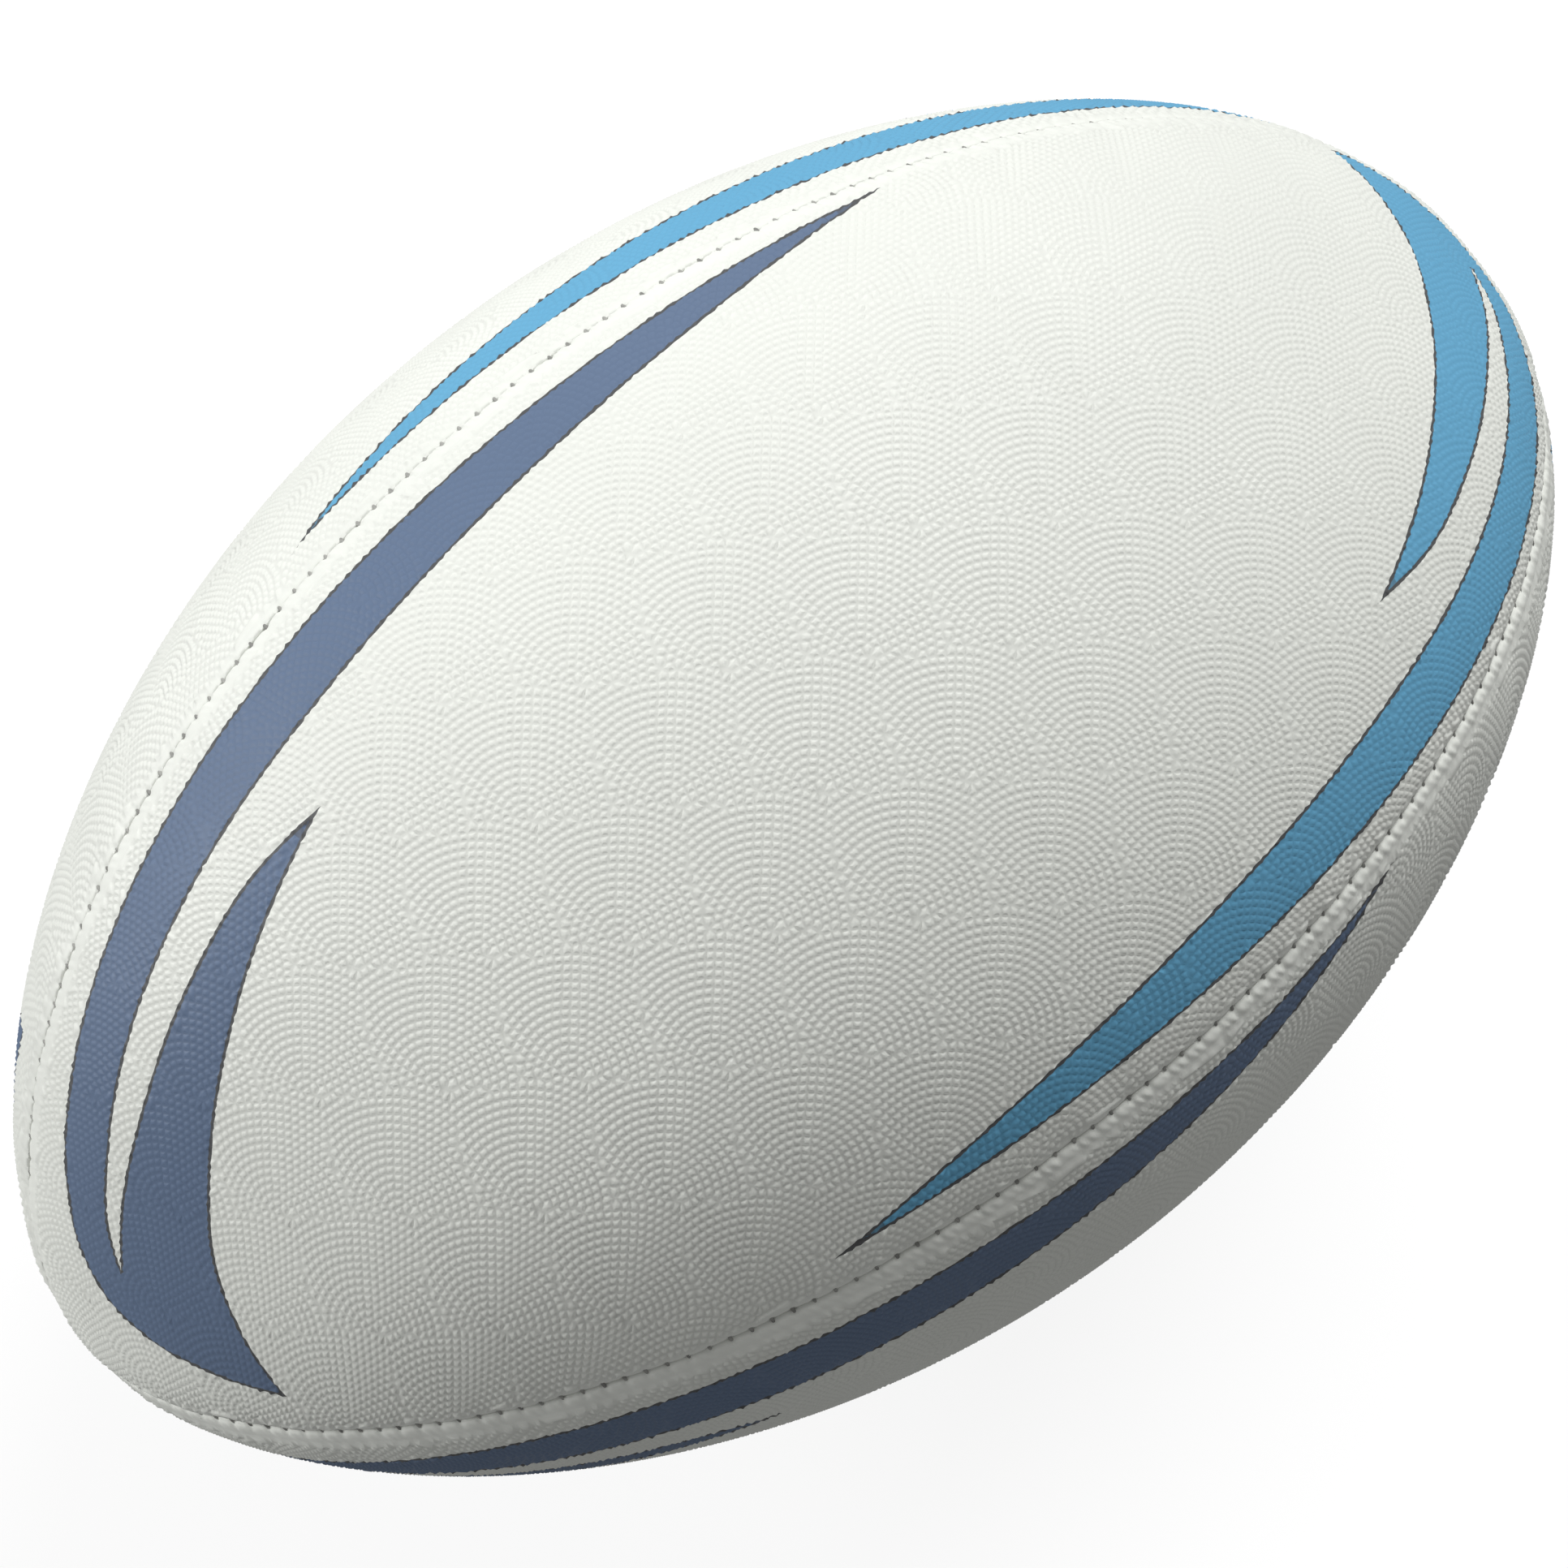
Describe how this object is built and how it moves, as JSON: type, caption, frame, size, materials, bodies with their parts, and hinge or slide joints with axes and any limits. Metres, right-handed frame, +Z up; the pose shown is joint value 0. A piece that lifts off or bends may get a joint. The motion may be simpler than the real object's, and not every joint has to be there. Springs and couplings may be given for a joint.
{
  "type": "rugby ball",
  "caption": "Prolate rugby ball with pimpled rubber panels sewn pole to pole over laminated cloth plies, a bladder and a pull-out valve plug.",
  "frame": {"origin": "centre of the ball", "axes": "+X along the long axis, towards the end with the sky-blue forks; +Z up through the middle of the top panel, with the ball lying on its side"},
  "size_m": [0.29, 0.186, 0.186],
  "materials": {
    "cover_rubber": "satin pimpled rubber",
    "ply_cloth": "plain weave, rubber cemented",
    "waxed_thread": "waxed twisted thread",
    "bladder_rubber": "smooth matte",
    "patch_cloth": "coarse plain weave",
    "valve_rubber": "moulded matte",
    "plug_silicone": "smooth silicone"
  },
  "bodies": {
    "ball": {"cover_panel_top": "cover_rubber", "outer_ply_top": "ply_cloth", "middle_ply_top": "ply_cloth", "inner_ply_top": "ply_cloth", "cover_panel_front": "cover_rubber", "outer_ply_front": "ply_cloth", "middle_ply_front": "ply_cloth", "inner_ply_front": "ply_cloth", "cover_panel_bottom": "cover_rubber", "outer_ply_bottom": "ply_cloth", "middle_ply_bottom": "ply_cloth", "inner_ply_bottom": "ply_cloth", "cover_panel_back": "cover_rubber", "outer_ply_back": "ply_cloth", "middle_ply_back": "ply_cloth", "inner_ply_back": "ply_cloth", "seam_thread_top_back": "waxed_thread", "seam_thread_top_front": "waxed_thread", "seam_thread_bottom_front": "waxed_thread", "seam_thread_bottom_back": "waxed_thread", "bladder": "bladder_rubber", "valve_patch": "patch_cloth", "valve_housing": "valve_rubber"},
    "valve_plug": {"valve_plug": "plug_silicone"}
  },
  "joints": [
    {"name": "valve_plug_pull", "type": "slide", "parent": "ball", "child": "valve_plug", "axis": [0, 0.9613, -0.2756], "range_m": [0, 0.016]}
  ]
}
